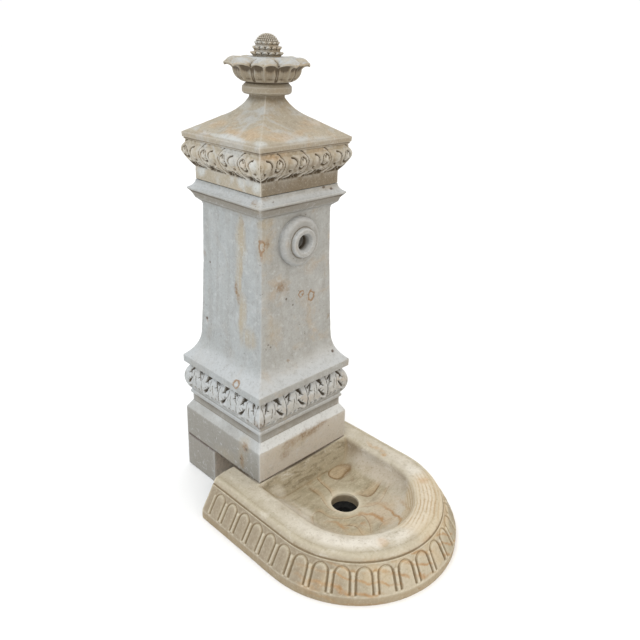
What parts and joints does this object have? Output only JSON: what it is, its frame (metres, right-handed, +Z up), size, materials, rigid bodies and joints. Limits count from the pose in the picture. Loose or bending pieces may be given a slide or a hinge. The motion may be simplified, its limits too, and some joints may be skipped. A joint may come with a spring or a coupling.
{
  "type": "drinking fountain",
  "caption": "Square carved stone pillar with lotus finial and turned water outlet, standing on a D-shaped basin with fluted apron and drain.",
  "frame": {"origin": "on the ground at the pillar's vertical axis, which is the axis of the supply pipe", "axes": "+Z up; -Y out of the front face, over the basin; +X to the right of someone looking along +Y at the front"},
  "size_m": [0.5936, 0.8448, 1.3065],
  "materials": {
    "pillar_stone": "honed, weathered",
    "cap_stone": "honed, weathered",
    "basin_stone": "honed, weathered",
    "mortar": "rough",
    "stainless_steel": "satin",
    "copper": "dull",
    "nickelled_brass": "satin",
    "bare_brass": "dull",
    "chromed_steel": "polished",
    "white_plastic": "matte",
    "handle_enamel": "gloss",
    "lagging_foam": "matte foam",
    "black_plastic": "matte",
    "black_rubber": "matte"
  },
  "bodies": {
    "fountain": {"basin": "basin_stone", "rear_base_block": "pillar_stone", "base_block": "pillar_stone", "shaft_block": "pillar_stone", "outlet_rose": "pillar_stone", "cap_block": "cap_stone", "finial": "cap_stone", "basin_bed": "mortar", "rear_bed": "mortar", "shaft_bed": "mortar", "cap_bed": "mortar", "finial_bed": "mortar", "socket_grout": "mortar", "stone_dowels": "stainless_steel", "finial_dowel": "stainless_steel", "supply_pipe": "copper", "riser_pipe": "copper", "outlet_pipe": "copper", "outlet_elbow": "copper", "valve_body": "nickelled_brass", "valve_end": "nickelled_brass", "gland_nut": "nickelled_brass", "compression_nuts": "nickelled_brass", "compression_olives": "bare_brass", "outlet_socket": "bare_brass", "valve_seats": "white_plastic", "stem_packing": "white_plastic", "pipe_lagging": "lagging_foam", "drain_tail": "black_plastic", "drain_seal": "black_rubber"},
    "valve_key": {"valve_ball": "chromed_steel", "valve_stem": "bare_brass", "valve_handle": "handle_enamel", "handle_screw": "stainless_steel"}
  },
  "joints": [
    {"name": "valve_turn", "type": "hinge", "parent": "fountain", "child": "valve_key", "pos_m": [0, 0, 0.06], "axis": [1, 0, 0], "range_deg": [0, 90]}
  ]
}
